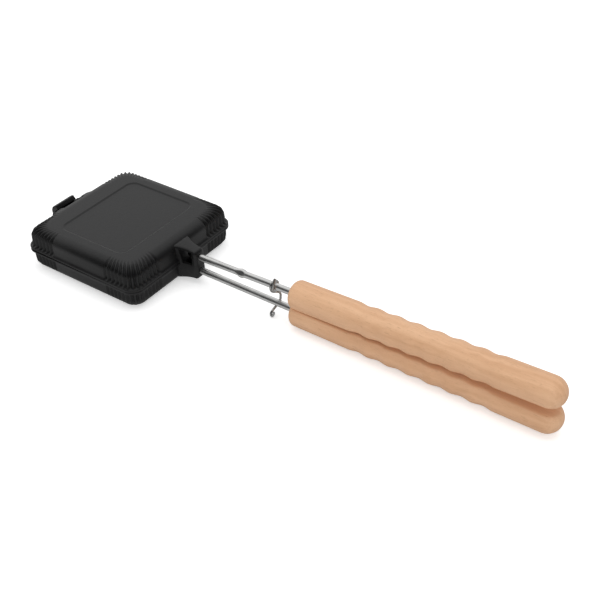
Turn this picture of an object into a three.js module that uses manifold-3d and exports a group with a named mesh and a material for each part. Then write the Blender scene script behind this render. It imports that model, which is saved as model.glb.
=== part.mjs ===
// A cast iron sandwich iron for toasting over a camp fire. Two square cast
// shells close round one filled slice of bread. They hook together at the far
// edge, and each has a cast neck that takes a steel rod with a turned wooden
// handle. A bent wire latch turns on the upper rod and hooks under the lower
// one. Lengths are millimetres and +Z is up. The part stands on the flat base
// of the lower shell, whose centre is the origin, and the handles point to +X.
import * as THREE from 'three';
import { mergeVertices } from 'three/addons/utils/BufferGeometryUtils.js';
import Module from 'manifold-3d';

const wasm = await Module();
wasm.setup();

// Fits and cuts that all pieces share
const fitGap = 0.3;
const overrun = 2;

// Shells: the square rim, the wall and the rounded shoulder of one half
const rimWidth = 140;
const shellHeight = 21.1;
const partingGap = 0.3;
const rimCornerRadius = 12;
const flatCornerRadius = 5.5;
const rimLip = 2.3;
const filletInset = 1.9;
const filletRise = 3;
const wallInset = 2.1;
const shoulderRun = 11.4;
const shoulderRise = 9;
const flutedLength = 38;
const flutePitch = 5.1;
const fluteDepth = 0.8;

// Cavity: the flat land round the edge, the drafted wall and the floor
const landWidth = 8;
const cavityDraft = 1.5;
const cavityFillet = 6;
const cavityCornerRadius = 11;
const floorThickness = 4.4;

// Shallow panel pressed into the top of the lid
const panelLength = 78.4;
const panelWidth = 96.6;
const panelCornerRadius = 12;
const panelDepth = 0.6;
const panelSlopeShare = 1.6;

// Neck: the hollow cast block that takes the rod
const neckReach = 18;
const neckWidth = 12.8;
const neckFlareWidth = 23;
const neckFlareDepth = 6;
const neckFlareLength = 17;
const neckEndHeight = 15.2;
const neckRootHeight = 17.6;
const neckEndRadius = 4;
const neckEdgeRadius = 1.5;
const neckPostReach = 2.1;
const neckPostLean = 2.9;
const neckRoof = 2;
const endPlateThickness = 5;

// Hinge: a cast bar between two ears on the lid lies in a hook on the base
const hingeReach = 16.4;
const barDiameter = 5.6;
const hookGap = 0.4;
const hookWall = 5.1;
const hookWidth = 26;
const hookLipAngle = 300;
const earGap = 0.6;
const earWidth = 3.4;
const earSplay = 1;
const earRootWidth = 11;
const earRadius = 2.8;
const earHollowRun = 4.6;
const earHollowHeight = 5.6;
const earKneeReach = 7;
const earKneeHeight = 11.9;
const earRootHeight = 16;
const hingeRootDepth = 5;

// Rods: the inner end starts in the neck and the outer end sits in the handle
const rodDiameter = 6.4;
const rodOffset = 7.3;
const rodStartReach = 5;
const upperRodAngle = 1.782;
const lowerRodAngle = 0;
const spigotDiameter = 5;
const spigotChamfer = 0.6;
const rodDepthInHandle = 85;
const stopStation = 61.5;
const stopLength = 11.4;
const stopWidth = 8.4;
const stopThickness = 5.6;
const stopFlatShare = 0.8;
const stopTurnAngle = 58;

// Locknut on the threaded end of each rod
const nutAcrossFlats = 8;
const nutThickness = 4;

// Handles: turned wood with finger grooves and one flat side
const handleStation = 118;
const handleLength = 251;
const handleDiameter = 26.5;
const handleFlat = 8.85;
const handleFrontRun = 6;
const handleFrontRound = 7.5;
const grooveStart = 62.2;
const groovePitch = 19.4;
const grooveDepth = 1.15;
const grooveCount = 7;

// Latch: one bent wire
const latchStation = 98;
const wireDiameter = 2.2;
const latchDrift = 2.7;
const coilStartAngle = 155;
const coilEndAngle = 555;

// Facets
const roundSteps = 20;
const boreSteps = 16;
const cornerSteps = 6;
const fluteSteps = 4;
const shoulderSteps = 3;
const filletSteps = 2;
const grooveSteps = 4;
const endSteps = 5;
const stopSteps = 10;
const wireSides = 8;
const wireSteps = 104;
const coilSteps = 20;

// Places worked out from the sizes above
const rimHalf = rimWidth / 2;
const rimFace = partingGap / 2;
const neckEnd = rimHalf + neckReach;
const rodStart = rimHalf + rodStartReach;
const hingeAxis = -(rimHalf + hingeReach);
const hookInner = barDiameter / 2 + hookGap;
const hookOuter = hookInner + hookWall;
const rodRadius = rodDiameter / 2;
const handleRadius = handleDiameter / 2;

const right = Math.PI / 2;
const radians = THREE.MathUtils.degToRad;

const castIron = () => new THREE.MeshStandardMaterial({ color: 0x35353a, roughness: 0.62, metalness: 0.35 });
const steel = () => new THREE.MeshStandardMaterial({ color: 0xb9b9b7, roughness: 0.3, metalness: 1 });
const wireSteel = () => new THREE.MeshStandardMaterial({ color: 0x8d8c8a, roughness: 0.38, metalness: 1 });
const beech = () => new THREE.MeshStandardMaterial({ color: 0xd9aa80, roughness: 0.55, metalness: 0 });

// A closed geometry as a solid that can be joined and cut
function solid(geometry) {
  const bare = geometry.index ? geometry.clone() : mergeReady(geometry);
  bare.deleteAttribute('normal');
  bare.deleteAttribute('uv');
  const merged = mergeVertices(bare);
  return new wasm.Manifold(new wasm.Mesh({
    numProp: 3,
    vertProperties: Float32Array.from(merged.attributes.position.array),
    triVerts: Uint32Array.from(merged.index.array),
  }));
}

function mergeReady(geometry) {
  const bare = new THREE.BufferGeometry();
  bare.setAttribute('position', geometry.attributes.position.clone());
  return bare;
}

function geometryOf(body) {
  const mesh = body.getMesh();
  const geometry = new THREE.BufferGeometry();
  geometry.setAttribute('position', new THREE.BufferAttribute(mesh.vertProperties, 3));
  geometry.setIndex(new THREE.BufferAttribute(mesh.triVerts, 1));
  geometry.computeVertexNormals();
  return geometry;
}

function piece(name, body, material) {
  const mesh = new THREE.Mesh(geometryOf(body), material);
  mesh.name = name;
  return mesh;
}

// A closed skin through rings of equal count, fanned shut at both ends
function loft(rings) {
  const positions = [];
  const index = [];
  const count = rings[0].length;
  rings.forEach((ring) => ring.forEach((point) => positions.push(point.x, point.y, point.z)));
  for (let level = 0; level + 1 < rings.length; level += 1) {
    for (let k = 0; k < count; k += 1) {
      const a = level * count + k;
      const b = level * count + ((k + 1) % count);
      index.push(a, b, b + count, a, b + count, a + count);
    }
  }
  const last = (rings.length - 1) * count;
  const foot = rings.length * count;
  positions.push(0, 0, rings[0][0].z, 0, 0, rings[rings.length - 1][0].z);
  for (let k = 0; k < count; k += 1) {
    const next = (k + 1) % count;
    index.push(foot, next, k, foot + 1, last + k, last + next);
  }
  const geometry = new THREE.BufferGeometry();
  geometry.setAttribute('position', new THREE.Float32BufferAttribute(positions, 3));
  geometry.setIndex(index);
  return solid(geometry);
}

// A ring with rounded corners at one height, counter-clockwise from above
function roundedRing(halfX, halfY, radius, height) {
  const ring = [];
  for (let corner = 0; corner < 4; corner += 1) {
    const sideX = corner === 0 || corner === 3 ? 1 : -1;
    const sideY = corner < 2 ? 1 : -1;
    for (let k = 0; k <= cornerSteps; k += 1) {
      const angle = right * (corner + k / cornerSteps);
      ring.push(new THREE.Vector3(
        sideX * (halfX - radius) + radius * Math.cos(angle),
        sideY * (halfY - radius) + radius * Math.sin(angle),
        height,
      ));
    }
  }
  return ring;
}

// A shape in the XZ plane, extruded along Y to a width centred on the middle
function acrossY(shape, width, curveSegments = cornerSteps) {
  const geometry = new THREE.ExtrudeGeometry(shape, { depth: width, bevelEnabled: false, curveSegments });
  geometry.rotateX(right);
  geometry.translate(0, width / 2, 0);
  return geometry;
}

// A shape in the XY plane, extruded upwards from one height to another
function upZ(shape, from, to) {
  const geometry = new THREE.ExtrudeGeometry(shape, {
    depth: to - from,
    bevelEnabled: false,
    curveSegments: cornerSteps,
  });
  geometry.translate(0, 0, from);
  return geometry;
}

// A cylinder along X from one station to another
function roundBar(radius, from, to, steps = roundSteps) {
  const geometry = new THREE.CylinderGeometry(radius, radius, to - from, steps);
  geometry.rotateZ(-right);
  geometry.translate((from + to) / 2, 0, 0);
  return geometry;
}

// How far along the outline of one corner the flutes run at a given inset
function flutedZone(inset, radius) {
  const half = rimHalf - inset;
  const start = rimHalf - flutedLength;
  const straight = half - radius - start;
  return { half, start, straight, length: 2 * straight + right * radius };
}

const fluteCount = Math.round(flutedZone(0, rimCornerRadius).length / flutePitch);

// The point a distance along one fluted corner, pushed in by the flute's depth
function flutedPoint(zone, radius, distance, depth) {
  const centre = zone.half - radius;
  if (distance <= zone.straight) {
    return new THREE.Vector2(zone.half - depth, zone.start + distance);
  }
  const bend = distance - zone.straight;
  if (bend < right * radius) {
    const angle = bend / radius;
    const reach = radius - depth;
    return new THREE.Vector2(centre + reach * Math.cos(angle), centre + reach * Math.sin(angle));
  }
  return new THREE.Vector2(centre - (bend - right * radius), zone.half - depth);
}

// One level of the shell's outside: four fluted corners with plain sides between
function shellRing({ inset, height, radius, flutes }) {
  const ring = [];
  const zone = flutedZone(inset, radius);
  const steps = fluteCount * fluteSteps;
  for (let corner = 0; corner < 4; corner += 1) {
    for (let k = 0; k <= steps; k += 1) {
      const wave = (1 - Math.cos((2 * Math.PI * k) / fluteSteps)) / 2;
      const flat = flutedPoint(zone, radius, (zone.length * k) / steps, flutes * fluteDepth * wave);
      flat.rotateAround(new THREE.Vector2(), corner * right);
      ring.push(new THREE.Vector3(flat.x, flat.y, height));
    }
  }
  return ring;
}

// Levels from the parting face up: lip, concave fillet, wall, rounded shoulder
function shellLevels() {
  const filletFluteShares = [0.45, 0.9];
  const shoulderFluteShares = [1, 0.95, 0.6, 0];
  const levels = [
    { inset: 0, height: rimFace, flutes: 0 },
    { inset: 0, height: rimLip, flutes: 0 },
  ];
  for (let k = 1; k <= filletSteps; k += 1) {
    const angle = (right * k) / filletSteps;
    levels.push({
      inset: filletInset * Math.sin(angle),
      height: rimLip + filletRise * (1 - Math.cos(angle)),
      flutes: filletFluteShares[k - 1],
    });
  }
  for (let k = 0; k <= shoulderSteps; k += 1) {
    const angle = (right * k) / shoulderSteps;
    levels.push({
      inset: wallInset + shoulderRun * (1 - Math.cos(angle)),
      height: shellHeight - shoulderRise * (1 - Math.sin(angle)),
      flutes: shoulderFluteShares[k],
    });
  }
  return levels.map((level) => ({ ...level, radius: cornerRadius(level.inset) }));
}

// The corners keep the rim's radius up the wall, then tighten over the shoulder
function cornerRadius(inset) {
  const share = Math.max(0, inset - wallInset) / shoulderRun;
  return rimCornerRadius + (flatCornerRadius - rimCornerRadius) * share;
}

// The space for the bread: flat land, drafted wall, filleted floor
function cavity() {
  const depth = shellHeight - floorThickness;
  const mouth = rimHalf - landWidth;
  const bottom = mouth - cavityDraft;
  const rings = [
    roundedRing(mouth + cavityDraft, mouth + cavityDraft, cavityCornerRadius + cavityDraft,
      rimFace - (depth - cavityFillet)),
    roundedRing(bottom, bottom, cavityCornerRadius - cavityDraft, depth - cavityFillet),
  ];
  for (let k = 1; k <= shoulderSteps; k += 1) {
    const angle = (right * k) / shoulderSteps;
    const half = bottom - cavityFillet * (1 - Math.cos(angle));
    rings.push(roundedRing(half, half, cavityCornerRadius - cavityDraft,
      depth - cavityFillet * (1 - Math.sin(angle))));
  }
  return loft(rings);
}

// The neck seen from above: it flares into the shell and ends in a square plate
function neckPlan() {
  const root = neckEnd - neckFlareLength - neckFlareDepth;
  const narrow = neckEnd - neckFlareDepth;
  const bend = (root + narrow) / 2;
  const half = neckWidth / 2;
  const flare = neckFlareWidth / 2;
  const shape = new THREE.Shape();
  shape.moveTo(root, -flare);
  shape.quadraticCurveTo(bend, -half, narrow, -half);
  shape.lineTo(neckEnd - neckEdgeRadius, -half);
  shape.absarc(neckEnd - neckEdgeRadius, -half + neckEdgeRadius, neckEdgeRadius, -right, 0);
  shape.lineTo(neckEnd, half - neckEdgeRadius);
  shape.absarc(neckEnd - neckEdgeRadius, half - neckEdgeRadius, neckEdgeRadius, 0, right);
  shape.lineTo(narrow, half);
  shape.quadraticCurveTo(bend, half, root, flare);
  return upZ(shape, 0, shellHeight);
}

// The neck seen from the side: it falls from the shoulder to a rounded end
function neckSide() {
  const root = rimHalf - wallInset - shoulderRun;
  const wall = rimHalf - wallInset;
  const shape = new THREE.Shape();
  shape.moveTo(root, rimFace);
  shape.lineTo(neckEnd, rimFace);
  shape.absarc(neckEnd - neckEndRadius, neckEndHeight - neckEndRadius, neckEndRadius, 0, right);
  shape.lineTo(wall, neckRootHeight);
  shape.lineTo(root, neckRootHeight);
  return acrossY(shape, neckFlareWidth + overrun);
}

// The pocket for the locknut is cored from the parting face. It leaves a roof,
// a leaning post and the end plate, and in the lid it also opens to both sides.
function neckPocket(width) {
  const foot = rimHalf + neckPostReach;
  const head = foot - neckPostLean;
  const to = neckEnd - endPlateThickness;
  const fall = (neckRootHeight - neckEndHeight) / (neckReach + wallInset - neckEndRadius);
  const roofAt = (x) => neckRootHeight - neckRoof - fall * (x - rimHalf + wallInset);
  const shape = new THREE.Shape();
  shape.moveTo(foot, -overrun);
  shape.lineTo(to, -overrun);
  shape.lineTo(to, roofAt(to));
  shape.lineTo(head, roofAt(head));
  shape.lineTo(foot, 0);
  return acrossY(shape, width);
}

function rodBore(rodAngle) {
  const geometry = roundBar(spigotDiameter / 2 + fitGap, 0, neckReach + overrun, boreSteps);
  geometry.rotateY(-radians(rodAngle));
  geometry.translate(rodStart, 0, rodOffset);
  return geometry;
}

// What both shells have: outside, neck, cavity, pocket and rod hole
function shellBody(rodAngle, pocketWidth, fittings) {
  const neck = solid(neckPlan()).intersect(solid(neckSide()));
  const shell = loft(shellLevels().map(shellRing)).add(neck);
  const outside = fittings.reduce((sum, fitting) => sum.add(fitting), shell);
  const pocket = solid(neckPocket(pocketWidth));
  return outside.subtract(cavity()).subtract(pocket).subtract(solid(rodBore(rodAngle)));
}

// The ear seen from above: an arm that widens from the bar to the wall
function earPlan(side) {
  const root = -(rimHalf - hingeRootDepth);
  const end = hingeAxis - earRadius;
  const inner = hookWidth / 2 + earGap;
  const outer = inner + earWidth;
  const spread = inner + earSplay + earRootWidth;
  const shape = new THREE.Shape();
  shape.moveTo(end, side * inner);
  shape.lineTo(end, side * outer);
  shape.lineTo(hingeAxis + earRadius, side * outer);
  shape.lineTo(root, side * spread);
  shape.lineTo(root, side * (inner + earSplay));
  shape.lineTo(-rimHalf, side * inner);
  return upZ(shape, -earRadius, earRootHeight);
}

// The ear seen from the side: from the wall over a knee down to the bar
function earSide() {
  const root = -(rimHalf - hingeRootDepth);
  const heel = -(rimHalf + fitGap);
  const shape = new THREE.Shape();
  shape.moveTo(root, partingGap);
  shape.lineTo(root, earRootHeight);
  shape.lineTo(-(rimHalf + earKneeReach), earKneeHeight);
  shape.quadraticCurveTo(hingeAxis + earHollowRun, earHollowHeight, hingeAxis, earRadius);
  shape.absarc(hingeAxis, 0, earRadius, right, 3 * right);
  shape.lineTo(heel, partingGap);
  return acrossY(shape, rimWidth);
}

function ear(side) {
  return solid(earPlan(side)).intersect(solid(earSide()));
}

function hingeBar() {
  const length = hookWidth + 2 * (earGap + earWidth / 2);
  const geometry = new THREE.CylinderGeometry(barDiameter / 2, barDiameter / 2, length, roundSteps);
  geometry.translate(hingeAxis, 0, 0);
  return solid(geometry);
}

// The base's hook leaves the wall, runs under the bar and curls up over it
function hingeHook() {
  const root = -(rimHalf - hingeRootDepth);
  const lip = radians(hookLipAngle);
  const shape = new THREE.Shape();
  shape.moveTo(root, hookOuter);
  shape.lineTo(hingeAxis, hookOuter);
  shape.absarc(hingeAxis, 0, hookOuter, right, lip);
  shape.lineTo(hingeAxis + hookInner * Math.cos(lip), hookInner * Math.sin(lip));
  shape.absarc(hingeAxis, 0, hookInner, lip, right, true);
  shape.lineTo(root, hookInner);
  return solid(acrossY(shape, hookWidth, roundSteps));
}

function lidPanel() {
  const rise = panelDepth + overrun;
  const grow = panelSlopeShare * rise;
  const halfX = panelLength / 2;
  const halfY = panelWidth / 2;
  return loft([
    roundedRing(halfX, halfY, panelCornerRadius, shellHeight - panelDepth),
    roundedRing(halfX + grow, halfY + grow, panelCornerRadius + grow, shellHeight + overrun),
  ]);
}

function upperShell() {
  const openWidth = neckFlareWidth + overrun;
  const body = shellBody(upperRodAngle, openWidth, [ear(-1), ear(1), hingeBar()]);
  return piece('upper_shell', body.subtract(lidPanel()), castIron());
}

function lowerShell() {
  const slotWidth = nutAcrossFlats + 2 * fitGap;
  return piece('lower_shell', shellBody(lowerRodAngle, slotWidth, [hingeHook()]), castIron());
}

// A rod lies along X from its inner end, with a thinner threaded spigot
function rodBody() {
  const shoulder = neckEnd - rodStart + fitGap;
  const tip = handleStation + rodDepthInHandle;
  const profile = [
    [0, 0],
    [spigotDiameter / 2 - spigotChamfer, 0],
    [spigotDiameter / 2, spigotChamfer],
    [spigotDiameter / 2, shoulder],
    [rodRadius, shoulder],
    [rodRadius, tip],
    [0, tip],
  ];
  return solid(turned(profile, roundSteps));
}

// A profile of radius and station pairs, turned about X
function turned(profile, steps) {
  const points = profile.map(([radius, station]) => new THREE.Vector2(radius, station));
  const geometry = new THREE.LatheGeometry(points, steps);
  geometry.rotateZ(-right);
  return geometry;
}

// The flattened stretch that keeps the latch from sliding up to the shells
function withStop(rod) {
  const swell = new THREE.SphereGeometry(1, roundSteps, stopSteps);
  swell.rotateZ(right);
  swell.scale(stopLength / 2, stopWidth / 2, rodRadius);
  swell.rotateX(radians(stopTurnAngle));
  swell.translate(stopStation, 0, 0);
  const flats = [-1, 1].map((side) => {
    const block = new THREE.BoxGeometry(stopFlatShare * stopLength, stopWidth, stopWidth);
    block.translate(0, 0, (side * (stopThickness + stopWidth)) / 2);
    block.rotateX(radians(stopTurnAngle));
    block.translate(stopStation, 0, 0);
    return solid(block);
  });
  return rod.add(solid(swell)).subtract(flats[0]).subtract(flats[1]);
}

// A hexagon chamfered on both faces, bored for the threaded spigot
function locknut(name) {
  const across = nutAcrossFlats / 2;
  const corner = across / Math.cos(right / 3);
  const end = neckEnd - endPlateThickness - fitGap - rodStart;
  const station = end - nutThickness;
  const hexagon = new THREE.CylinderGeometry(corner, corner, nutThickness, 6);
  hexagon.rotateZ(-right);
  hexagon.translate(station + nutThickness / 2, 0, 0);
  const drop = corner - across;
  const blank = turned([
    [0, station],
    [across, station],
    [corner, station + drop],
    [corner, end - drop],
    [across, end],
    [0, end],
  ], roundSteps);
  const bore = roundBar(spigotDiameter / 2 + fitGap, station - overrun, end + overrun, boreSteps);
  return piece(name, solid(hexagon).intersect(solid(blank)).subtract(solid(bore)), steel());
}

// The handle's turned outline: round nose, plain stretch, grooves, round butt
function handleProfile() {
  const profile = [[0, 0]];
  for (let k = 0; k <= endSteps; k += 1) {
    const angle = (right * k) / endSteps;
    profile.push([
      handleRadius - handleFrontRound * (1 - Math.sin(angle)),
      handleFrontRun * (1 - Math.cos(angle)),
    ]);
  }
  for (let k = 0; k <= grooveCount * grooveSteps; k += 1) {
    const wave = (1 - Math.cos((2 * Math.PI * k) / grooveSteps)) / 2;
    profile.push([handleRadius - grooveDepth * wave, grooveStart + (groovePitch * k) / grooveSteps]);
  }
  for (let k = 0; k < endSteps; k += 1) {
    const angle = (right * k) / endSteps;
    profile.push([handleRadius * Math.cos(angle), handleLength - handleRadius * (1 - Math.sin(angle))]);
  }
  profile.push([0, handleLength]);
  return profile;
}

// The flat side faces the other handle, which lies below in this frame
function handle(name) {
  const flat = new THREE.BoxGeometry(handleLength + 2 * overrun, handleDiameter + overrun, handleDiameter);
  flat.translate(handleLength / 2, 0, -handleFlat - handleDiameter / 2);
  const bore = roundBar(rodRadius + fitGap, -overrun, rodDepthInHandle + fitGap, boreSteps);
  const body = solid(turned(handleProfile(), roundSteps)).subtract(solid(flat)).subtract(solid(bore));
  const mesh = piece(name, body, beech());
  mesh.position.x = handleStation;
  return mesh;
}

// The wire's centre line: a tail, more than a turn round the upper rod, a leg
// behind and under the lower rod, and a small eye to pull it by. Shares are of
// the wrap radius: along the rod, across it, and up from the rod they follow.
function latchPath() {
  const wrap = rodRadius + fitGap + wireDiameter / 2;
  const span = 2 * rodOffset + latchStation * Math.sin(radians(upperRodAngle - lowerRodAngle));
  const tailShares = [[0.32, -0.22, 1.9], [0.33, -0.44, 1.46], [0.33, -0.7, 0.98]];
  const legShares = [
    [-0.39, -0.74, -0.86], [-0.29, -0.26, -1.34], [-0.01, 0.39, -1.63], [0.2, 0.87, -1.95],
    [0.31, 1.09, -2.46], [0.26, 1.12, -3.08],
  ];
  const hookShares = [
    [0.12, 1.12, -0.1], [-0.06, 0.86, -0.74], [-0.29, 0.3, -1.17], [-0.42, -0.36, -1.51],
    [-0.46, -0.86, -1.76], [-0.54, -1.16, -2.06], [-0.5, -1.31, -2.45], [-0.22, -1.36, -2.6],
    [0.08, -1.28, -2.18], [0.14, -1.14, -1.7],
  ];
  const at = (shares, drop) => new THREE.Vector3(shares[0] * wrap, shares[1] * wrap, shares[2] * wrap - drop);
  const coil = [];
  for (let k = 0; k <= coilSteps; k += 1) {
    const angle = radians(coilStartAngle + ((coilEndAngle - coilStartAngle) * k) / coilSteps);
    const along = latchDrift / 2 - (latchDrift * (angle - 2 * right)) / (4 * right);
    coil.push(new THREE.Vector3(along, wrap * Math.cos(angle), wrap * Math.sin(angle)));
  }
  return new THREE.CatmullRomCurve3([
    ...tailShares.map((shares) => at(shares, 0)),
    ...coil,
    ...legShares.map((shares) => at(shares, 0)),
    ...hookShares.map((shares) => at(shares, span)),
  ]);
}

function latch() {
  const section = new THREE.Shape();
  section.absarc(0, 0, wireDiameter / 2, 0, 4 * right);
  const geometry = new THREE.ExtrudeGeometry(section, {
    curveSegments: wireSides / 2,
    steps: wireSteps,
    extrudePath: latchPath(),
  });
  const mesh = piece('latch', solid(geometry), wireSteel());
  mesh.position.x = latchStation;
  return mesh;
}

// The rod, nut and handle of one half, in line along the rod
function rodLine(rodAngle, side, rod) {
  const group = new THREE.Group();
  group.position.set(rodStart, 0, rodOffset);
  group.rotation.y = -radians(rodAngle);
  group.add(piece(`${side}_rod`, rod, steel()), locknut(`${side}_rod_nut`), handle(`${side}_handle`));
  return group;
}

const upperLine = rodLine(upperRodAngle, 'upper', withStop(rodBody()));
upperLine.add(latch());

const upperHalf = new THREE.Group();
upperHalf.add(upperShell(), upperLine);

// The lower half is built the same way up and turned over about the rod's line
const lowerHalf = new THREE.Group();
lowerHalf.add(lowerShell(), rodLine(lowerRodAngle, 'lower', rodBody()));
lowerHalf.rotation.x = Math.PI;

const sandwichIron = new THREE.Group();
sandwichIron.add(lowerHalf, upperHalf);
sandwichIron.position.z = shellHeight;

export default sandwichIron;
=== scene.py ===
# A cast iron sandwich iron for a camp fire: two square fluted shells hinged at
# the far edge, steel rods, turned beech handles and a bent wire latch. Lengths
# are metres, +Z is up, and the origin is the centre of the lower shell's base.
import math

import bpy
import numpy as np
from mathutils import Matrix, Vector


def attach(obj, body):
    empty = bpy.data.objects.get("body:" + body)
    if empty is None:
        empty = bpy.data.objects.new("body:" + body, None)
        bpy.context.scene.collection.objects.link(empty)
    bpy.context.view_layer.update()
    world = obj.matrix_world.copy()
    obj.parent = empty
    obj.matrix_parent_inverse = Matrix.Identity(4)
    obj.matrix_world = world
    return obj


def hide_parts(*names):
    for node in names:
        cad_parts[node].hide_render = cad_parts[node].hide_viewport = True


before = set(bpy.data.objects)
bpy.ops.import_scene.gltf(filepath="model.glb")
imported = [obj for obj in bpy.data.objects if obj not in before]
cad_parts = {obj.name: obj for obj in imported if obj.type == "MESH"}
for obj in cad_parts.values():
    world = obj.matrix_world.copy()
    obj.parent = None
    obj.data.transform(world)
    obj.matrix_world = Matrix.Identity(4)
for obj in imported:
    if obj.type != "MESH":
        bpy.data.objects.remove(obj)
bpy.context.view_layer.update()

# Camera. It stands to the right of the shells, above the handles, and looks
# down across both halves, with the photograph's lens and a slight roll.
camera_place = Vector((0.62154, -0.55887, 0.57018))
camera_turn = math.radians(37.0459)
camera_tilt = math.radians(37.7898)
camera_roll = math.radians(-2.2579)
camera_lens = 61.826
camera_sensor = 36
level = Vector((math.cos(camera_turn), math.sin(camera_turn), 0))
forward = Vector((
    -math.sin(camera_turn) * math.cos(camera_tilt),
    math.cos(camera_turn) * math.cos(camera_tilt),
    -math.sin(camera_tilt),
))
upward = level.cross(forward)
rolled_right = math.cos(camera_roll) * level + math.sin(camera_roll) * upward
rolled_up = math.cos(camera_roll) * upward - math.sin(camera_roll) * level
camera_data = bpy.data.cameras.new("camera")
camera_data.lens = camera_lens
camera_data.sensor_width = camera_sensor
camera = bpy.data.objects.new("camera", camera_data)
turn = Matrix((rolled_right, rolled_up, -forward)).transposed().to_4x4()
camera.matrix_world = Matrix.Translation(camera_place) @ turn
bpy.context.scene.collection.objects.link(camera)
bpy.context.scene.camera = camera

# Cast iron shells. Each half is one sand casting: a flared rim, a rounded
# shoulder with fluted corners, a hollow neck and its half of the hinge. The
# upper half is the lower one turned over, with a shallow panel in its top.
mm = 0.001
quarter = math.pi / 2
parting_gap = 0.14 * mm
overrun = 2 * mm
rim_half = 70 * mm
shell_height = 21.1 * mm
rim_corner_radius = 12 * mm
flat_corner_radius = 5.5 * mm
upper_groove_radius = 14 * mm
rim_lip = 2.3 * mm
lip_round = 0.45 * mm
fillet_inset = 1.9 * mm
fillet_rise = 4.2 * mm
wall_inset = 2.1 * mm
shoulder_run = 11.4 * mm
shoulder_rise = 9 * mm
fluted_length = 38 * mm
flute_pitch = 5.1 * mm
flute_depth = 1.9 * mm
fillet_flutes = 0.95
shoulder_flute_loss = 0.45
fade_power = 5
flute_steps = 16
lip_steps = 6
fillet_steps = 14
fillet_first_step = 3
wall_steps = 5
shoulder_steps = 20
lower_fade_step = 9
upper_fade_step = 20
face_shares = (0.96, 0.7, 0.35)
box_corner_steps = 12
bar_sides = 48
rim_wear = 1 * mm
rim_wear_end = 24 * mm
rim_face = parting_gap / 2
casting_sharp_angle = 22


def flute_zone(inset, radius):
    """The straight run on each side of a fluted corner, and its whole length."""
    straight = fluted_length - inset - radius
    return straight, 2 * straight + quarter * radius


flute_count = round(flute_zone(0, rim_corner_radius)[1] / flute_pitch)


def corner_outline(inset, radius, depth=0.0):
    """One rounded corner of a level, cut back by the depth of its flutes."""
    straight, length = flute_zone(inset, radius)
    along = np.linspace(0, length, flute_count * flute_steps + 1)
    angle = np.clip((along - straight) / radius, 0, quarter)
    before = np.clip(straight - along, 0, None)
    after = np.clip(along - straight - quarter * radius, 0, None)
    centre = rim_half - inset - radius
    x = centre + (radius - depth) * np.cos(angle) - after
    y = centre + (radius - depth) * np.sin(angle) - before
    return np.stack([x, y])


def four_corners(x, y):
    """The points of one corner, turned about the middle to all four."""
    corners = [(x, y), (-y, x), (-x, -y), (y, -x)]
    return np.concatenate([np.stack(corner, axis=1) for corner in corners])


def fluted_ring(inset, height, flutes, groove_radius=0.0, turn=0.0):
    """One level of the shell: four fluted corners joined by plain sides.

    The crests of the flutes fill out a corner that their grooves leave rounder.
    The turn is the angle by which the surface leans in from upright. The face
    of the rim is worn back towards the hinge.
    """
    share = max(0, inset - wall_inset) / shoulder_run
    crest_radius = rim_corner_radius + (flat_corner_radius - rim_corner_radius) * share
    cut_radius = rim_corner_radius + (groove_radius - rim_corner_radius) * share ** 2
    depth = flutes * flute_depth
    crest = corner_outline(inset, crest_radius)
    groove = corner_outline(inset, max(crest_radius, cut_radius), depth * math.cos(turn))
    turns = np.arange(crest.shape[1]) / flute_steps
    swing = (1 - np.cos(2 * math.pi * turns)) / 2
    ring = four_corners(*(crest + (groove - crest) * swing))
    lift = np.tile(swing, 4) * -depth * math.sin(turn)
    if height < rim_lip / 2:
        lift = rim_wear * np.clip((rim_wear_end - ring[:, 0]) / (rim_half + rim_wear_end), 0, 1)
    return np.column_stack([ring, height + lift])


def shell_rings(groove_radius, fade_step):
    """Levels from the middle of the parting face, round the lip and up to the top."""
    rings = []
    for k in range(lip_steps + 1):
        angle = quarter * k / lip_steps
        inset = lip_round * (1 - math.sin(angle))
        rings.append(fluted_ring(inset, rim_face + lip_round * (1 - math.cos(angle)), 0))
    for k in range(lip_steps + 1):
        angle = quarter * k / lip_steps
        inset = lip_round * (1 - math.cos(angle))
        rings.append(fluted_ring(inset, rim_lip - lip_round * (1 - math.sin(angle)), 0))
    for k in range(fillet_first_step, fillet_steps + 1):
        angle = quarter * k / fillet_steps
        share = (k / fillet_steps) ** 2 * (3 - 2 * k / fillet_steps)
        height = rim_lip + fillet_rise * (1 - math.cos(angle))
        rings.append(fluted_ring(fillet_inset * math.sin(angle), height, fillet_flutes * share))
    low = rim_lip + fillet_rise
    for k in range(1, wall_steps + 1):
        share = k / wall_steps
        inset = fillet_inset + (wall_inset - fillet_inset) * share
        height = low + (shell_height - shoulder_rise - low) * share
        rings.append(fluted_ring(inset, height, fillet_flutes + (1 - fillet_flutes) * share))
    for k in range(1, shoulder_steps + 1):
        angle = quarter * k / shoulder_steps
        inset = wall_inset + shoulder_run * (1 - math.cos(angle))
        height = shell_height - shoulder_rise * (1 - math.sin(angle))
        fade = max(0, 1 - (k / fade_step) ** fade_power)
        flutes = fade * (1 - shoulder_flute_loss * math.sin(angle))
        rings.append(fluted_ring(inset, height, flutes, groove_radius, angle))
    base, top = rings[0], rings[-1]
    for share in face_shares:
        inward = np.array([share, share, 1])
        rings.insert(0, base * inward)
        rings.append(top * inward)
    return rings


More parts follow.
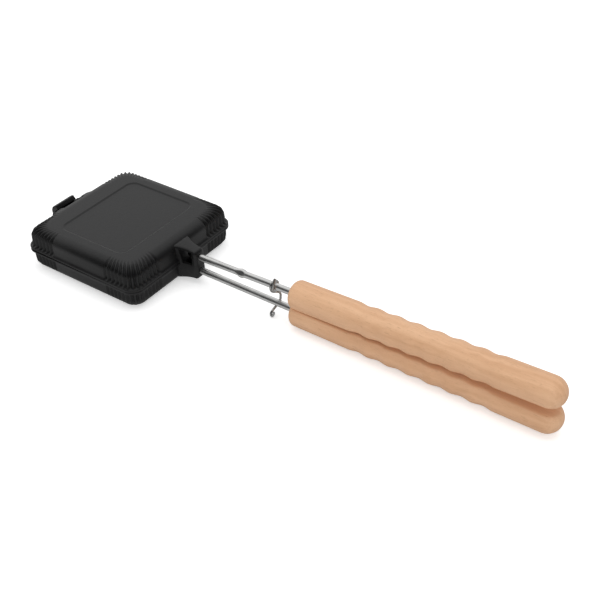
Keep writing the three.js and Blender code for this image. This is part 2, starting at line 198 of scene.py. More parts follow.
def mesh_from_rings(name, rings):
    """A closed mesh through rings of equal count, with a pole at each end."""
    count = len(rings[0])
    points = np.concatenate([*rings, [rings[0].mean(axis=0)], [rings[-1].mean(axis=0)]])
    here = np.arange(count)
    following = (here + 1) % count
    faces = []
    for k in range(len(rings) - 1):
        low, high = k * count, (k + 1) * count
        faces += np.column_stack([low + here, low + following, high + following, high + here]).tolist()
    foot = len(rings) * count
    last = foot - count
    faces += np.column_stack([np.full(count, foot), following, here]).tolist()
    faces += np.column_stack([np.full(count, foot + 1), last + here, last + following]).tolist()
    mesh = bpy.data.meshes.new(name)
    mesh.from_pydata(points.tolist(), [], faces)
    mesh.validate()
    return mesh


def placed(name, mesh):
    piece = bpy.data.objects.new(name, mesh)
    bpy.context.scene.collection.objects.link(piece)
    return piece


def evaluated_mesh(piece):
    """The mesh that a piece has once its modifiers are worked out."""
    bpy.context.view_layer.update()
    graph = bpy.context.evaluated_depsgraph_get()
    return bpy.data.meshes.new_from_object(piece.evaluated_get(graph))


def applied(piece):
    """The piece with its modifiers made part of its mesh."""
    mesh = evaluated_mesh(piece)
    piece.modifiers.clear()
    piece.data = mesh
    return piece


def combined(piece, tool, operation):
    """Joins, cuts or trims a piece with a tool, which is used up."""
    change = piece.modifiers.new("join", "BOOLEAN")
    change.operation = operation
    change.solver = "MANIFOLD"
    change.object = tool
    applied(piece)
    bpy.data.objects.remove(tool)


def bevelled(piece, width, steps, flattest):
    """The piece with its edges rounded where it turns by more than an angle."""
    bevel = piece.modifiers.new("edge", "BEVEL")
    bevel.width = width
    bevel.segments = steps
    bevel.limit_method = "ANGLE"
    bevel.angle_limit = math.radians(flattest)
    return applied(piece)


def smoothed(piece, sharp_angle):
    """Smooth shading, broken where the piece turns by more than an angle."""
    piece.data.shade_smooth()
    piece.data.set_sharp_from_angle(angle=math.radians(sharp_angle))
    return piece


def rounded_box_ring(half, radius, height):
    """A square ring with round corners at one height."""
    angle = quarter * np.arange(box_corner_steps + 1) / box_corner_steps
    x = half - radius + radius * np.cos(angle)
    y = half - radius + radius * np.sin(angle)
    ring = four_corners(x, y)
    return np.column_stack([ring, np.full(len(ring), height)])


def solid_between(name, near, far, side=1):
    """A solid between two like outlines. A side of -1 turns its faces over."""
    count = len(near)
    here = list(range(count))
    faces = [here, [count + k for k in reversed(here)]]
    faces += [[k, k + count, (k + 1) % count + count, (k + 1) % count] for k in here]
    mesh = bpy.data.meshes.new(name)
    mesh.from_pydata([*near, *far], [], [face[::side] for face in faces])
    return placed(name, mesh)


def prism(name, outline, width):
    """An outline in X and Z, carried across Y."""
    near = [(x, -width / 2, z) for x, z in outline]
    far = [(x, width / 2, z) for x, z in outline]
    return solid_between(name, near, far)


def curve(start, control, end, steps):
    """Points of a quadratic curve after its start."""
    shares = np.arange(1, steps + 1)[:, None] / steps
    points = np.array(start) * (1 - shares) ** 2 + np.array(control) * 2 * shares * (1 - shares)
    return [tuple(point) for point in points + np.array(end) * shares ** 2]


def arc(centre, radius, start, end, steps):
    """Points of an arc in X and Z, by angles in degrees."""
    angles = np.radians(np.linspace(start, end, steps + 1))
    return [(centre[0] + radius * math.cos(a), centre[1] + radius * math.sin(a)) for a in angles]


def bar(name, radius, start, end):
    """A round bar between two points."""
    start, end = Vector(start), Vector(end)
    axis = (end - start).normalized()
    side = axis.orthogonal().normalized()
    other = axis.cross(side)
    angles = 2 * math.pi * np.arange(bar_sides) / bar_sides
    circle = radius * (np.outer(np.cos(angles), side) + np.outer(np.sin(angles), other))
    return placed(name, mesh_from_rings(name, [circle + start, circle + end]))


# Cavity for the bread: a flat land round it, drafted walls and a filleted floor
land_width = 8 * mm
cavity_draft = 1.5 * mm
cavity_fillet = 6 * mm
cavity_corner_radius = 11 * mm
floor_thickness = 4.4 * mm
cavity_fillet_steps = 10


def cavity():
    """The tool that cores a half, from past its parting face to its floor."""
    depth = shell_height - floor_thickness
    mouth = rim_half - land_width
    low = depth - cavity_fillet
    narrow = mouth - cavity_draft
    corner = cavity_corner_radius - cavity_draft
    rings = [
        rounded_box_ring(mouth + cavity_draft, corner + 2 * cavity_draft, rim_face - low),
        rounded_box_ring(narrow, corner, low),
    ]
    for k in range(1, cavity_fillet_steps + 1):
        angle = quarter * k / cavity_fillet_steps
        half = narrow - cavity_fillet * (1 - math.cos(angle))
        rings.append(rounded_box_ring(half, corner, depth - cavity_fillet * (1 - math.sin(angle))))
    return placed("cavity", mesh_from_rings("cavity", rings))


# Neck: it flares into the shell, falls to a rounded end and is cored hollow
neck_end = 88 * mm
neck_half_width = 6.4 * mm
neck_flare = 5.1 * mm
neck_flare_length = 17 * mm
neck_flare_depth = 6 * mm
neck_end_height = 15.2 * mm
neck_root_height = 17.6 * mm
neck_end_radius = 4 * mm
neck_edge_radius = 3 * mm
neck_post_reach = 2.7 * mm
neck_post_lean = 2.9 * mm
neck_roof = 2 * mm
end_plate = 5 * mm
nut_slot = 8.6 * mm
open_pocket = 4 * (neck_half_width + neck_flare)
neck_steps = 48
neck_edge_steps = 8


def neck_section(x, trim):
    """The neck's cross section at one station, with round top edges."""
    narrow = neck_end - neck_flare_depth
    flare = neck_flare * max(0, (narrow - x) / neck_flare_length) ** 2
    half = neck_half_width + flare - trim
    wall = rim_half - wall_inset
    bend = neck_end - neck_end_radius
    fall = (neck_root_height - neck_end_height) * min(1, max(0, (x - wall) / (bend - wall)))
    drop = neck_end_radius - math.sqrt(max(0, neck_end_radius ** 2 - max(0, x - bend) ** 2))
    height = neck_root_height - fall - drop
    edge = neck_edge_radius
    right = arc((half - edge, height - edge), edge, 0, 90, neck_edge_steps)
    points = [(half, rim_face), *right]
    points += [(-y, z) for y, z in reversed(points)]
    return np.array([(x, y, z) for y, z in points])


def neck():
    """The neck, whose outer end is trimmed in so that its upright edges are round."""
    start = neck_end - neck_flare_length - neck_flare_depth
    flat = neck_end - neck_edge_radius
    stations = [(start + (flat - start) * k / neck_steps, 0) for k in range(neck_steps + 1)]
    for k in range(1, neck_edge_steps + 1):
        angle = quarter * k / neck_edge_steps
        trim = neck_edge_radius * (1 - math.cos(angle))
        stations.append((flat + neck_edge_radius * math.sin(angle), trim))
    return placed("neck", mesh_from_rings("neck", [neck_section(x, trim) for x, trim in stations]))


def neck_pocket(width):
    """The space for the locknut, cored from the parting face.

    A width past the neck's own leaves the pocket open on both sides.
    """
    foot = rim_half + neck_post_reach
    head = foot - neck_post_lean
    end = neck_end - end_plate
    wall = rim_half - wall_inset
    fall = (neck_root_height - neck_end_height) / (neck_end - neck_end_radius - wall)
    end_roof, head_roof = (neck_root_height - neck_roof - fall * (x - wall) for x in (end, head))
    outline = [(foot, -overrun), (end, -overrun), (end, end_roof), (head, head_roof), (foot, 0)]
    return prism("pocket", outline, width)


# Rod holes through the neck's end plate, in line with each rod
rod_start = 75 * mm
rod_offset = 7.3 * mm
upper_rod_angle = math.radians(1.782)
spigot_radius = 2.5 * mm
fit_gap = 0.3 * mm


def rod_line(angle):
    """The place of a rod that leans up by an angle from its start in the neck."""
    return Matrix.Translation((rod_start, 0, rod_offset)) @ Matrix.Rotation(-angle, 4, "Y")


def rod_bore(angle):
    length = neck_end - rod_start + overrun
    start, end = (rod_line(angle) @ Vector((x, 0, 0)) for x in (0, length))
    return bar("bore", spigot_radius + fit_gap, start, end)


# Hinge: the lid's two ears hold a cast bar, and the base's hook curls round it
hinge_axis = -(rim_half + 16.4 * mm)
hinge_root = -(rim_half - 5 * mm)
bar_radius = 2.8 * mm
hook_inner = 3.2 * mm
hook_outer = 8.3 * mm
hook_width = 24.6 * mm
hook_tip = 5 * mm
hook_crest_angle = 262
hook_lip_angle = 288
hook_steps = 40
hook_edge = 1.3 * mm
hook_edge_steps = 6
hook_edge_angle = 40
ear_inner = 13.6 * mm
ear_width = 3.4 * mm
ear_splay = 1 * mm
ear_root_width = 11 * mm
ear_radius = 2.8 * mm
ear_hollow_run = 4.6 * mm
ear_hollow_height = 5.6 * mm
ear_knee_reach = 7 * mm
ear_knee_height = 10.5 * mm
ear_root_height = 15.9 * mm
ear_tip_steps = 24
ear_hollow_steps = 12
ear_edge = 0.7 * mm
ear_edge_steps = 5
ear_edge_angle = 50


def ear(side):
    """An arm that widens from the bar to the wall: side view cut by plan view."""
    outer = ear_inner + ear_width
    spread = ear_inner + ear_splay + ear_root_width
    knee = -(rim_half + ear_knee_reach)
    outline = [(hinge_root, parting_gap), (-(rim_half + fit_gap), parting_gap)]
    outline += arc((hinge_axis, 0), ear_radius, 270, 90, ear_tip_steps)
    hollow = (hinge_axis + ear_hollow_run, ear_hollow_height)
    outline += curve((hinge_axis, ear_radius), hollow, (knee, ear_knee_height), ear_hollow_steps)
    outline += [(hinge_root, ear_root_height)]
    arm = prism("ear", outline, 2 * rim_half)
    end = hinge_axis - ear_radius - overrun
    plan = [(end, outer), (hinge_axis + ear_radius, outer), (hinge_root, spread)]
    plan += [(hinge_root, ear_inner + ear_splay), (-rim_half, ear_inner), (end, ear_inner)]
    low = [(x, side * y, -ear_radius - overrun) for x, y in plan]
    high = [(x, side * y, ear_root_height + overrun) for x, y in plan]
    combined(arm, solid_between("plan", low, high, side), "INTERSECT")
    return bevelled(arm, ear_edge, ear_edge_steps, ear_edge_angle)


def hinge_bar():
    reach = ear_inner + ear_width / 2
    return bar("hinge_bar", bar_radius, (hinge_axis, -reach, 0), (hinge_axis, reach, 0))


def hinge_hook():
    """The hook, whose tip slopes from its crest down to one point of its lip."""
    axis = (hinge_axis, 0)
    outline = [(hinge_root, hook_outer)]
    outline += arc(axis, hook_outer, 90, hook_crest_angle, hook_steps)
    outline += arc(axis, hook_tip, hook_lip_angle, hook_lip_angle, 0)
    outline += arc(axis, hook_inner, hook_crest_angle, 90, hook_steps)
    outline += [(hinge_root, hook_inner)]
    hook = prism("hook", outline[::-1], hook_width)
    return bevelled(hook, hook_edge, hook_edge_steps, hook_edge_angle)


# Panel: a shallow bare recess in the top of the lid, with sloping edges
panel_half = (39.2 * mm, 48.3 * mm)
panel_corner_radius = 8 * mm
panel_depth = 0.8 * mm
panel_slope_share = 2.2


def lid_panel():
    """The tool that sinks the panel: a rounded oblong that widens as it rises."""
    longer = panel_half[1] - panel_half[0]
    rings = []
    for rise in (0, panel_depth + overrun):
        grow = panel_slope_share * rise
        height = shell_height - panel_depth + rise
        ring = rounded_box_ring(panel_half[0] + grow, panel_corner_radius + grow, height)
        ring[:, 1] += np.sign(ring[:, 1]) * longer
        rings.append(ring)
    return placed("panel", mesh_from_rings("panel", rings))


def casting(name, rings, angle, pocket_width, fittings, half_place, cuts=()):
    """One finished half: joined, cored, bored and set in its place."""
    piece = placed(name, mesh_from_rings(name, rings))
    for fitting in (neck(), *fittings):
        combined(piece, fitting, "UNION")
    for cut in (cavity(), neck_pocket(pocket_width), rod_bore(angle), *cuts):
        combined(piece, cut, "DIFFERENCE")
    piece.data.transform(half_place)
    return smoothed(piece, casting_sharp_angle)


upper_place = Matrix.Translation((0, 0, shell_height))
lower_place = upper_place @ Matrix.Rotation(math.pi, 4, "X")


class Flow:
    """One output of a node. Arithmetic on it adds Math nodes to its tree."""

    def __init__(self, tree, socket=None):
        self.tree = tree
        self.socket = socket

    def node(self, kind, settings=None, inputs=None, output=0):
        """A new node: its settings first, then the values or links of its sockets."""
        made = self.tree.nodes.new(kind)
        for name, value in (settings or {}).items():
            setattr(made, name, value)
        for name, value in (inputs or {}).items():
            if isinstance(value, Flow):
                self.tree.links.new(value.socket, made.inputs[name])
            else:
                made.inputs[name].default_value = value
        return Flow(self.tree, made.outputs[output] if made.outputs else None)

    def other(self, output):
        """Another output of the same node."""
        return Flow(self.tree, self.socket.node.outputs[output])

    def math(self, operation, *values):
        return self.node("ShaderNodeMath", {"operation": operation}, dict(enumerate(values)))

    def __add__(self, other):
        return self.math("ADD", self, other)

    def __sub__(self, other):
        return self.math("SUBTRACT", self, other)

    def __rsub__(self, other):
        return self.math("SUBTRACT", other, self)

    def __mul__(self, other):
        return self.math("MULTIPLY", self, other)

    def __truediv__(self, other):
        return self.math("DIVIDE", self, other)

    __radd__ = __add__
    __rmul__ = __mul__

    def sine(self):
        return self.math("SINE", self)

    def cosine(self):
        return self.math("COSINE", self)

    def at_least(self, other):
        return self.math("MAXIMUM", self, other)

    def at_most(self, other):
        return self.math("MINIMUM", self, other)

    def clamped(self, low=0.0, high=1.0):
        return self.at_least(low).at_most(high)

    def smooth(self, low, high):
        """From 0 to 1, in a soft step between two values."""
        inputs = {"Value": self, "From Min": low, "From Max": high}
        return self.node("ShaderNodeMapRange", {"interpolation_type": "SMOOTHSTEP"}, inputs)

    def scaled(self, *sizes):
        """A vector output stretched by three factors."""
        return self.node("ShaderNodeVectorMath", {"operation": "MULTIPLY"}, {0: self, 1: sizes})

    def towards(self, direction):
        """How far a vector output points along a direction."""
        inputs = {0: self, 1: direction}
        return self.node("ShaderNodeVectorMath", {"operation": "DOT_PRODUCT"}, inputs, "Value")

    def noise(self, scale, detail, roughness, distortion=0.0):
        inputs = {
            "Vector": self,
            "Scale": scale,
            "Detail": detail,
            "Roughness": roughness,
            "Distortion": distortion,
        }
        return self.node("ShaderNodeTexNoise", {}, inputs)

    def between(self, low, high):
        """A colour mixed by this value from two, each plain or an output."""
        low, high = ((*c, 1) if isinstance(c, tuple) else c for c in (low, high))
        return self.node("ShaderNodeMix", {"data_type": "RGBA"}, {0: self, 6: low, 7: high}, 2)


def finish(name, build, metallic=0.0, specular=0.5):
    """A material: build takes the Object coordinates and gives what varies."""
    material = bpy.data.materials.new(name)
    material.use_nodes = True
    tree = material.node_tree
    shader = tree.nodes["Principled BSDF"]
    shader.inputs["Metallic"].default_value = metallic
    shader.inputs["Specular IOR Level"].default_value = specular
    place = Flow(tree).node("ShaderNodeTexCoord", output="Object")
    for socket, value in build(place).items():
        tree.links.new(value.socket, shader.inputs[socket])
    return material


def coated(piece, material):
    """Gives a piece one material all over."""
    piece.data.materials.clear()
    piece.data.materials.append(material)


def bumped(height, distance):
    inputs = {"Strength": 1.0, "Distance": distance, "Height": height}
    return height.node("ShaderNodeBump", {}, inputs)


iron_dark = (0.0045, 0.0045, 0.0048)
iron_worn = (0.0075, 0.0074, 0.0077)
iron_bump = 0.09 * mm


def seasoned_iron(place):
    """Oiled black iron with fine sand grain and faint patches of wear."""
    grain = place.noise(1500, 4, 0.6)
    skin = place.noise(420, 3, 0.5)
    patch = place.noise(38, 4, 0.6)
    colour = patch.smooth(0.3, 0.75).between(iron_dark, iron_worn)
    roughness = 0.33 + 0.08 * patch + 0.06 * grain
    height = 0.6 * grain + 0.9 * skin
    return {"Base Color": colour, "Roughness": roughness, "Normal": bumped(height, iron_bump)}


iron = finish("cast_iron", seasoned_iron)

lower_shell = casting(
    "lower_shell_casting", shell_rings(0, lower_fade_step), 0, nut_slot,
    [hinge_hook()], lower_place)
upper_shell = casting(
    "upper_shell_casting", shell_rings(upper_groove_radius, upper_fade_step), upper_rod_angle,
    open_pocket, [ear(-1), ear(1), hinge_bar()], upper_place, [lid_panel()])
for shell, node, body in (
    (lower_shell, "lower_shell", "lower_half"),
    (upper_shell, "upper_shell", "upper_half"),
):
    coated(shell, iron)
    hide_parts(node)
    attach(shell, body)

# Steel rods. Each is a bright drawn bar with a threaded end in the neck. The
# upper one is pressed flat over a short stretch, so that the latch stops there.
rod_radius = 3.2 * mm
handle_station = 118 * mm
rod_depth_in_handle = 85 * mm
rod_shoulder = neck_end - rod_start + fit_gap
rod_step = 0.02 * mm
rod_sides = 64
rod_sharp_angle = 50
stop_station = 61.5 * mm
stop_length = 11.4 * mm
stop_half_width = 4.2 * mm
stop_half_height = 2.8 * mm
stop_flat_share = 0.36
stop_ramp = 1.1 * mm
stop_turn = math.radians(58)
stop_edge_blend = 0.3 * mm
stop_least_sine = 0.05
stop_least_press = 0.01 * mm
stop_steps = 80
thread_pitch = 0.8 * mm
thread_depth = 0.35 * mm
thread_steps = 8
steel_dull = (0.78, 0.78, 0.77)
steel_bright = (0.86, 0.86, 0.85)
neck_shade = (0.008, 0.008, 0.008)
neck_shade_run = 0.4 * mm
steel_bump = 0.012 * mm


def soft_min(a, b, blend):
    """The smaller of two sizes, rounded where they cross."""
    mix = np.clip(blend - np.abs(a - b), 0, None) / blend
    return np.minimum(a, b) - mix ** 2 * blend / 4


def rod_ring(station, with_stop):
    """The bar's section at one station: threaded, round, or pressed at the stop."""
    angle = 2 * math.pi * np.arange(rod_sides) / rod_sides
    radius = np.full(rod_sides, rod_radius)
    if station < rod_shoulder - rod_step / 2:
        wave = np.cos(2 * math.pi * station / thread_pitch - angle)
        lead = min(1, station / thread_pitch) * min(1, (rod_shoulder - station) / thread_pitch)
        radius = spigot_radius - thread_depth * (1 - lead * (1 + wave) / 2)
    offset = abs(station - stop_station)
    if with_stop and offset < stop_length:
        swell = math.sqrt(max(0, 1 - (offset / (stop_length / 2)) ** 2))
        wide = max(rod_radius, stop_half_width * swell)
        ramp = np.clip((offset - stop_flat_share * stop_length) / stop_ramp, 0, 1)
        flat = stop_half_height + (rod_radius - stop_half_height) * ramp
        across = angle - stop_turn
        radius = 1 / np.sqrt((np.cos(across) / wide) ** 2 + (np.sin(across) / rod_radius) ** 2)
        if flat < rod_radius - stop_least_press:
            facet = flat / np.maximum(np.abs(np.sin(across)), stop_least_sine)
            radius = soft_min(radius, facet, stop_edge_blend)
    y, z = radius * np.cos(angle), radius * np.sin(angle)
    return np.column_stack([np.full(rod_sides, station), y, z])


def rod(name, with_stop, place):
    """A bar from its threaded end in the neck to its end inside the handle."""
    stations = list(np.arange(0, rod_shoulder - rod_step, thread_pitch / thread_steps))
    stations += [rod_shoulder - rod_step, rod_shoulder]
    if with_stop:
        reach = (stop_station - stop_length, stop_station + stop_length)
        stations += list(np.linspace(*reach, stop_steps + 1))
    stations += [handle_station + rod_depth_in_handle]
    rings = [rod_ring(station, with_stop) for station in stations]
    piece = placed(name, mesh_from_rings(name, rings))
    piece.data.transform(place)
    return smoothed(piece, rod_sharp_angle)


def bright_steel(place):
    """Drawn bar: faint lines along it, a little haze, and painted shade that turns it black and
    rougher inside the neck.
    """
    lines = place.scaled(0.02, 1, 1).noise(2600, 3, 0.6)
    haze = place.noise(55, 3, 0.5)
    colour = haze.smooth(0.35, 0.7).between(steel_dull, steel_bright)
    # Painted shade: the colour goes to near black where the bar runs inside the neck's bore and
    # pocket.
    along = place.node("ShaderNodeSeparateXYZ", {}, {"Vector": place})
    inside = 1 - along.smooth(neck_end - neck_shade_run, neck_end)
    colour = inside.between(colour, neck_shade)
    roughness = 0.2 + 0.09 * lines + 0.07 * haze + 0.25 * inside
    return {"Base Color": colour, "Roughness": roughness, "Normal": bumped(lines, steel_bump)}


rod_steel = finish("rod_steel", bright_steel, metallic=1.0)
upper_line = upper_place @ rod_line(upper_rod_angle)
lower_line = lower_place @ rod_line(0)
lower_rod = rod("lower_rod_bar", False, lower_line)
upper_rod = rod("upper_rod_bar", True, upper_line)
for piece, node, body in (
    (lower_rod, "lower_rod", "lower_half"),
    (upper_rod, "upper_rod", "upper_half"),
):
    coated(piece, rod_steel)
    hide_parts(node)
    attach(piece, body)

# Locknuts. Each is a plain chamfered hexagon of blackened steel on the threaded
# end of its rod, tight against the neck's end plate inside the pocket.
nut_black = (0.008, 0.008, 0.008)
nut_worn = (0.02, 0.02, 0.02)


def blackened_steel(place):
    """Blackened steel, worn a little lighter in places."""
    tarnish = place.noise(300, 3, 0.6)
    colour = tarnish.smooth(0.3, 0.7).between(nut_black, nut_worn)
    return {"Base Color": colour, "Roughness": 0.5 + 0.15 * tarnish}


nut_steel = finish("nut_steel", blackened_steel, metallic=1.0)
for node in ("lower_rod_nut", "upper_rod_nut"):
    coated(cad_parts[node], nut_steel)

# Handles. Each is turned from beech, with a round nose, seven finger grooves
# and a ball end, and planed flat on the side that faces the other handle.
handle_length = 251 * mm
handle_radius = 13.25 * mm
handle_flat = 8.85 * mm
handle_nose_run = 6 * mm
handle_nose_round = 7.5 * mm
groove_start = 62.2 * mm
groove_pitch = 19.4 * mm
groove_depth = 1.15 * mm
groove_count = 7
flat_edge_blend = 1.3 * mm
flat_least_sine = 0.02
handle_rows = 620
handle_sides = 112
handle_sharp_angle = 60
merge_distance = 0.002 * mm
bore_radius = rod_radius + fit_gap
bore_sides = 48
beech_pale = (0.87, 0.54, 0.325)
beech_deep = (0.71, 0.4, 0.22)
fleck_brown = (0.4, 0.19, 0.085)
beech_bump = 0.04 * mm

# Shares of the grid's rows at which the flat face, the nose and the body end
face_end = 0.015
nose_end = 0.09
body_end = 0.9

handle_sizes = {
    "Length": handle_length,
    "Radius": handle_radius,
    "Flat": handle_flat,
    "Nose run": handle_nose_run,
    "Nose round": handle_nose_round,
    "Groove start": groove_start,
    "Groove pitch": groove_pitch,
    "Groove depth": groove_depth,
    "Groove count": groove_count,
    "Bore radius": bore_radius,
    "Bore depth": rod_depth_in_handle + fit_gap,
}


def new_tree(name, sizes):
    """A Geometry Nodes tree with a named input for each size, as its input node."""
    group = bpy.data.node_groups.new(name, "GeometryNodeTree")
    group.interface.new_socket("Geometry", in_out="INPUT", socket_type="NodeSocketGeometry")
    group.interface.new_socket("Geometry", in_out="OUTPUT", socket_type="NodeSocketGeometry")
    for size in sizes:
        group.interface.new_socket(size, in_out="INPUT", socket_type="NodeSocketFloat")
    return Flow(group).node("NodeGroupInput")


def tree_of(shape, material):
    """The whole tree, ended with real geometry in its material."""
    real = shape.node("GeometryNodeRealizeInstances", {}, {"Geometry": shape})
    done = shape.node("GeometryNodeSetMaterial", {}, {"Geometry": real, "Material": material})
    shape.node("NodeGroupOutput", {}, {"Geometry": done})
    return shape.tree


def given_sizes(piece, group, sizes):
    """Puts the tree on a piece, with each size set by its socket's identifier."""
    change = piece.modifiers.new(group.name, "NODES")
    change.node_group = group
    for socket in group.interface.items_tree:
        if socket.name in sizes:
            change[socket.identifier] = sizes[socket.name]
    return piece


def handle_tree(wood):
    """A grid rolled into the turned handle, its flat side cut and its bore drilled."""
    given = new_tree("turned_handle", handle_sizes)
    size = {name: given.other(name) for name in handle_sizes}
    inputs = {"Size X": 1.0, "Size Y": 1.0, "Vertices X": handle_rows, "Vertices Y": handle_sides + 1}
    grid = given.node("GeometryNodeMeshGrid", {}, inputs)
    spot = given.node("GeometryNodeInputPosition")
    spot = given.node("ShaderNodeSeparateXYZ", {}, {"Vector": spot})
    run = spot + 0.5
    sweep = (spot.other("Y") + 0.5) * (2 * math.pi)

    face = (run / face_end).clamped()
    nose = (1 - (run - face_end) / (nose_end - face_end)).clamped() * quarter
    body = ((run - nose_end) / (body_end - nose_end)).clamped()
    butt = ((run - body_end) / (1 - body_end)).clamped() * quarter
    station = size["Nose run"] * (1 - nose.sine())
    station = station + (size["Length"] - size["Nose run"] - size["Radius"]) * body
    station = station + size["Radius"] * butt.sine()
    turns = (station - size["Groove start"]) / size["Groove pitch"]
    turns = turns.clamped(0, size["Groove count"])
    groove = size["Groove depth"] * (1 - (turns * (2 * math.pi)).cosine()) * 0.5
    wide = size["Radius"] - size["Nose round"] * (1 - nose.cosine()) - groove
    wide = wide * face * butt.cosine()

    upright = sweep.sine()
    facet = size["Flat"] / (upright * -1).at_least(flat_least_sine)
    gap = wide - facet
    mix = (1 - gap.math("ABSOLUTE", gap) / flat_edge_blend).clamped()
    radius = wide.at_most(facet) - mix * mix * (flat_edge_blend / 4)
    radius = radius.at_least(0.0)
    inputs = {"X": station, "Y": radius * sweep.cosine(), "Z": radius * upright}
    shape = given.node("ShaderNodeCombineXYZ", {}, inputs)
    rolled = given.node("GeometryNodeSetPosition", {}, {"Geometry": grid, "Position": shape})
    inputs = {"Geometry": rolled, "Distance": merge_distance}
    closed = given.node("GeometryNodeMergeByDistance", {}, inputs)
    inputs = {"Vertices": bore_sides, "Radius": size["Bore radius"], "Depth": size["Bore depth"] * 2}
    drill = given.node("GeometryNodeMeshCylinder", {}, inputs)
    inputs = {"Geometry": drill, "Rotation": (0, quarter, 0)}
    drill = given.node("GeometryNodeTransform", {}, inputs)
    cutting = {"operation": "DIFFERENCE", "solver": "MANIFOLD"}
    return tree_of(given.node("GeometryNodeMeshBoolean", cutting, {0: closed, 1: drill}), wood)


def beech(place):
    """Steamed beech: soft growth bands, short dark flecks and fine pores."""
    warp = place.scaled(0.12, 1, 1).noise(45, 2, 0.5)
    bands = place.scaled(0.05, 1.0, 0.55).noise(260, 3, 0.55, 0.4)
    flecks = place.scaled(0.09, 1, 1).noise(1500, 2, 0.6)
    pores = place.scaled(0.16, 1, 1).noise(3800, 2, 0.6)
    tone = bands.smooth(0.3, 0.72) * 0.6 + warp.smooth(0.3, 0.7) * 0.4
    dark = flecks.smooth(0.6, 0.72) * 0.34 + pores.smooth(0.56, 0.7) * 0.2
    colour = dark.between(tone.between(beech_pale, beech_deep), fleck_brown)
    height = 1 - flecks.smooth(0.58, 0.72) * 0.6 - pores.smooth(0.55, 0.7) * 0.5
    roughness = 0.4 + 0.1 * bands
    return {"Base Color": colour, "Roughness": roughness, "Normal": bumped(height, beech_bump)}


beech_wood = finish("handle_beech", beech, specular=0.45)
turned_handle = handle_tree(beech_wood)
for name, node, body, line in (
    ("lower_handle_grip", "lower_handle", "lower_half", lower_line),
    ("upper_handle_grip", "upper_handle", "upper_half", upper_line),
):
    grip = placed(name, bpy.data.meshes.new(name))
    applied(given_sizes(grip, turned_handle, handle_sizes))
    grip.data.transform(line @ Matrix.Translation((handle_station, 0, 0)))
    smoothed(grip, handle_sharp_angle)
    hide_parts(node)
    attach(grip, body)

# Latch. One piece of drawn wire: a tail and more than a turn round the upper
# rod, a leg behind and under the lower rod, and a small eye to pull it by.
latch_station = 98 * mm
wire_radius = 1.1 * mm
latch_drift = 2.7 * mm
coil_start_angle = 155
coil_end_angle = 555
coil_steps = 20
wire_sides = 20
wire_resolution = 10
wire_sharp_angle = 50
wire_sizes = {"Wire radius": wire_radius}
wire_dull = (0.5, 0.5, 0.49)
wire_bright = (0.64, 0.64, 0.63)


def latch_points():
    """Centre line points: tail, coil, leg and hook, in shares of the wrap radius."""
    wrap = rod_radius + fit_gap + wire_radius
    span = 2 * rod_offset + latch_station * math.sin(upper_rod_angle)
    tail_shares = [(0.32, -0.22, 1.9), (0.33, -0.44, 1.46), (0.33, -0.7, 0.98)]
    leg_shares = [
        (-0.39, -0.74, -0.86), (-0.29, -0.26, -1.34), (-0.01, 0.39, -1.63),
        (0.2, 0.87, -1.95), (0.31, 1.09, -2.46), (0.26, 1.12, -3.08),
    ]
    hook_shares = [
        (0.12, 1.12, -0.1), (-0.06, 0.86, -0.74), (-0.29, 0.3, -1.17), (-0.42, -0.36, -1.51),
        (-0.46, -0.86, -1.76), (-0.54, -1.16, -2.06), (-0.5, -1.31, -2.45), (-0.22, -1.36, -2.6),
        (0.08, -1.28, -2.18), (0.14, -1.14, -1.7),
    ]
    points = [Vector(share) * wrap for share in tail_shares]
    for k in range(coil_steps + 1):
        degrees = coil_start_angle + (coil_end_angle - coil_start_angle) * k / coil_steps
        along = latch_drift / 2 - latch_drift * (degrees - 180) / 360
        angle = math.radians(degrees)
        points.append(Vector((along, wrap * math.cos(angle), wrap * math.sin(angle))))
    points += [Vector(share) * wrap for share in leg_shares]
    points += [Vector(share) * wrap - Vector((0, 0, span)) for share in hook_shares]
    return points


def wire_tree(steel):
    """A round wire drawn along a curve that passes through the given points."""
    given = new_tree("bent_wire", wire_sizes)
    inputs = {"Curve": given.other("Geometry")}
    path = given.node("GeometryNodeCurveSplineType", {"spline_type": "CATMULL_ROM"}, inputs)
    inputs = {"Geometry": path, "Resolution": wire_resolution}
    path = given.node("GeometryNodeSetSplineResolution", {}, inputs)
    inputs = {"Resolution": wire_sides, "Radius": given.other("Wire radius")}
    section = given.node("GeometryNodeCurvePrimitiveCircle", {}, inputs)
    inputs = {"Curve": path, "Profile Curve": section, "Fill Caps": True}
    return tree_of(given.node("GeometryNodeCurveToMesh", {}, inputs), steel)


def drawn_wire(place):
    """Grey drawn wire, duller than the rods."""
    haze = place.noise(700, 3, 0.6)
    colour = haze.smooth(0.35, 0.7).between(wire_dull, wire_bright)
    return {"Base Color": colour, "Roughness": 0.22 + 0.12 * haze}


wire_steel = finish("wire_steel", drawn_wire, metallic=1.0)
wire_curve = bpy.data.curves.new("latch_path", "CURVE")
wire_curve.dimensions = "3D"
spline = wire_curve.splines.new("POLY")
latch_path = latch_points()
spline.points.add(len(latch_path) - 1)
for point, place in zip(spline.points, latch_path):
    point.co = (*place, 1)
latch_guide = placed("latch_path", wire_curve)
given_sizes(latch_guide, wire_tree(wire_steel), wire_sizes)
latch_wire = placed("latch_wire", evaluated_mesh(latch_guide))
bpy.data.objects.remove(latch_guide)
latch_wire.data.transform(upper_line @ Matrix.Translation((latch_station, 0, 0)))
smoothed(latch_wire, wire_sharp_angle)
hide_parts("latch")
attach(latch_wire, "latch")

# Studio: a plain pale floor in a softly lit white room, with a dark band of
# wall on the camera's side that the iron and the bright steel mirror.
floor_half = 6.0
floor_colour = (0.8, 0.8, 0.8)
floor_shade = 0.95
floor_glow = 0.43
mirrored_shade = 0.36
mirrored_glow = 0.17
room_light = 0.544
wall_gloss = 0.76
band_loss = 0.94
band_edge = (-0.46, -0.05)
band_top = (0.7, 0.95)
camera_side = (0.68, -0.73, 0.0)


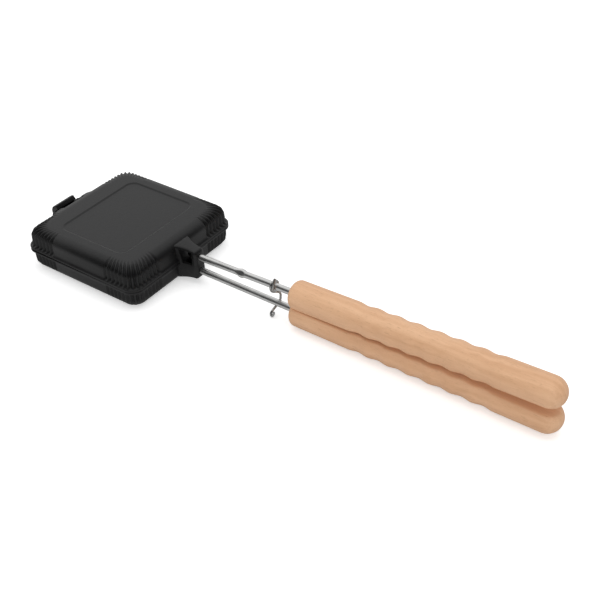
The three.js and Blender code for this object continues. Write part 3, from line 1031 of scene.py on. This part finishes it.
def studio_floor():
    """The floor glows where the camera or a reflection sees it, and keeps its shadow."""
    mesh = bpy.data.meshes.new("floor")
    corners = [(x * floor_half, y * floor_half, 0) for x, y in ((-1, -1), (1, -1), (1, 1), (-1, 1))]
    mesh.from_pydata(corners, [], [(0, 1, 2, 3)])
    floor = placed("floor", mesh)
    material = bpy.data.materials.new("floor")
    material.use_nodes = True
    material.node_tree.nodes.clear()
    flow = Flow(material.node_tree)
    matt = flow.node("ShaderNodeBsdfDiffuse", {}, {"Color": (*floor_colour, 1)})
    camera_ray = flow.node("ShaderNodeLightPath", output="Is Camera Ray")
    mirrored = camera_ray.other("Is Glossy Ray") + camera_ray.other("Is Transmission Ray")
    grey = floor_shade - mirrored * (floor_shade - mirrored_shade)
    shade = flow.node("ShaderNodeBsdfDiffuse", {}, {"Color": grey})
    strength = floor_glow - mirrored * (floor_glow - mirrored_glow)
    glow = flow.node("ShaderNodeEmission", {}, {"Strength": strength})
    white = flow.node("ShaderNodeAddShader", {}, {0: shade, 1: glow})
    both = flow.node("ShaderNodeMixShader", {}, {0: camera_ray + mirrored, 1: matt, 2: white})
    flow.node("ShaderNodeOutputMaterial", {}, {"Surface": both})
    coated(floor, material)


def studio_room():
    """White to the camera, plain light on the object, and the band in reflections."""
    world = bpy.data.worlds.new("room")
    bpy.context.scene.world = world
    world.use_nodes = True
    world.node_tree.nodes.clear()
    flow = Flow(world.node_tree)
    camera_ray = flow.node("ShaderNodeLightPath", output="Is Camera Ray")
    glossy_ray = camera_ray.other("Is Glossy Ray")
    place = flow.node("ShaderNodeTexCoord", output="Generated")
    band = place.towards(camera_side).smooth(*band_edge)
    band = band * (1 - place.towards((0, 0, 1)).smooth(*band_top))
    mirrored = wall_gloss * (1 - band_loss * band)
    strength = glossy_ray * mirrored + (1 - glossy_ray) * room_light
    inputs = {"Color": (1, 1, 1, 1), "Strength": strength.at_least(camera_ray)}
    sky = flow.node("ShaderNodeBackground", {}, inputs)
    flow.node("ShaderNodeOutputWorld", {}, {"Surface": sky})


def softbox(name, place, target, size, power):
    """A wide lamp that points at a target and that no reflection shows."""
    lamp = bpy.data.lights.new(name, "AREA")
    lamp.shape = "RECTANGLE"
    lamp.size, lamp.size_y = size
    lamp.energy = power
    holder = placed(name, lamp)
    holder.location = place
    holder.rotation_euler = (Vector(target) - Vector(place)).to_track_quat("-Z", "Y").to_euler()
    holder.visible_glossy = False


studio_floor()
studio_room()
softbox("overhead", place=(0.0, 0.2, 1.6), target=(0.1, 0.0, 0.0), size=(2.0, 1.6), power=12)
softbox("front", place=(1.3, -1.5, 1.1), target=(0.1, 0.0, 0.0), size=(1.8, 1.2), power=8)

bpy.context.scene.view_settings.view_transform = "Standard"
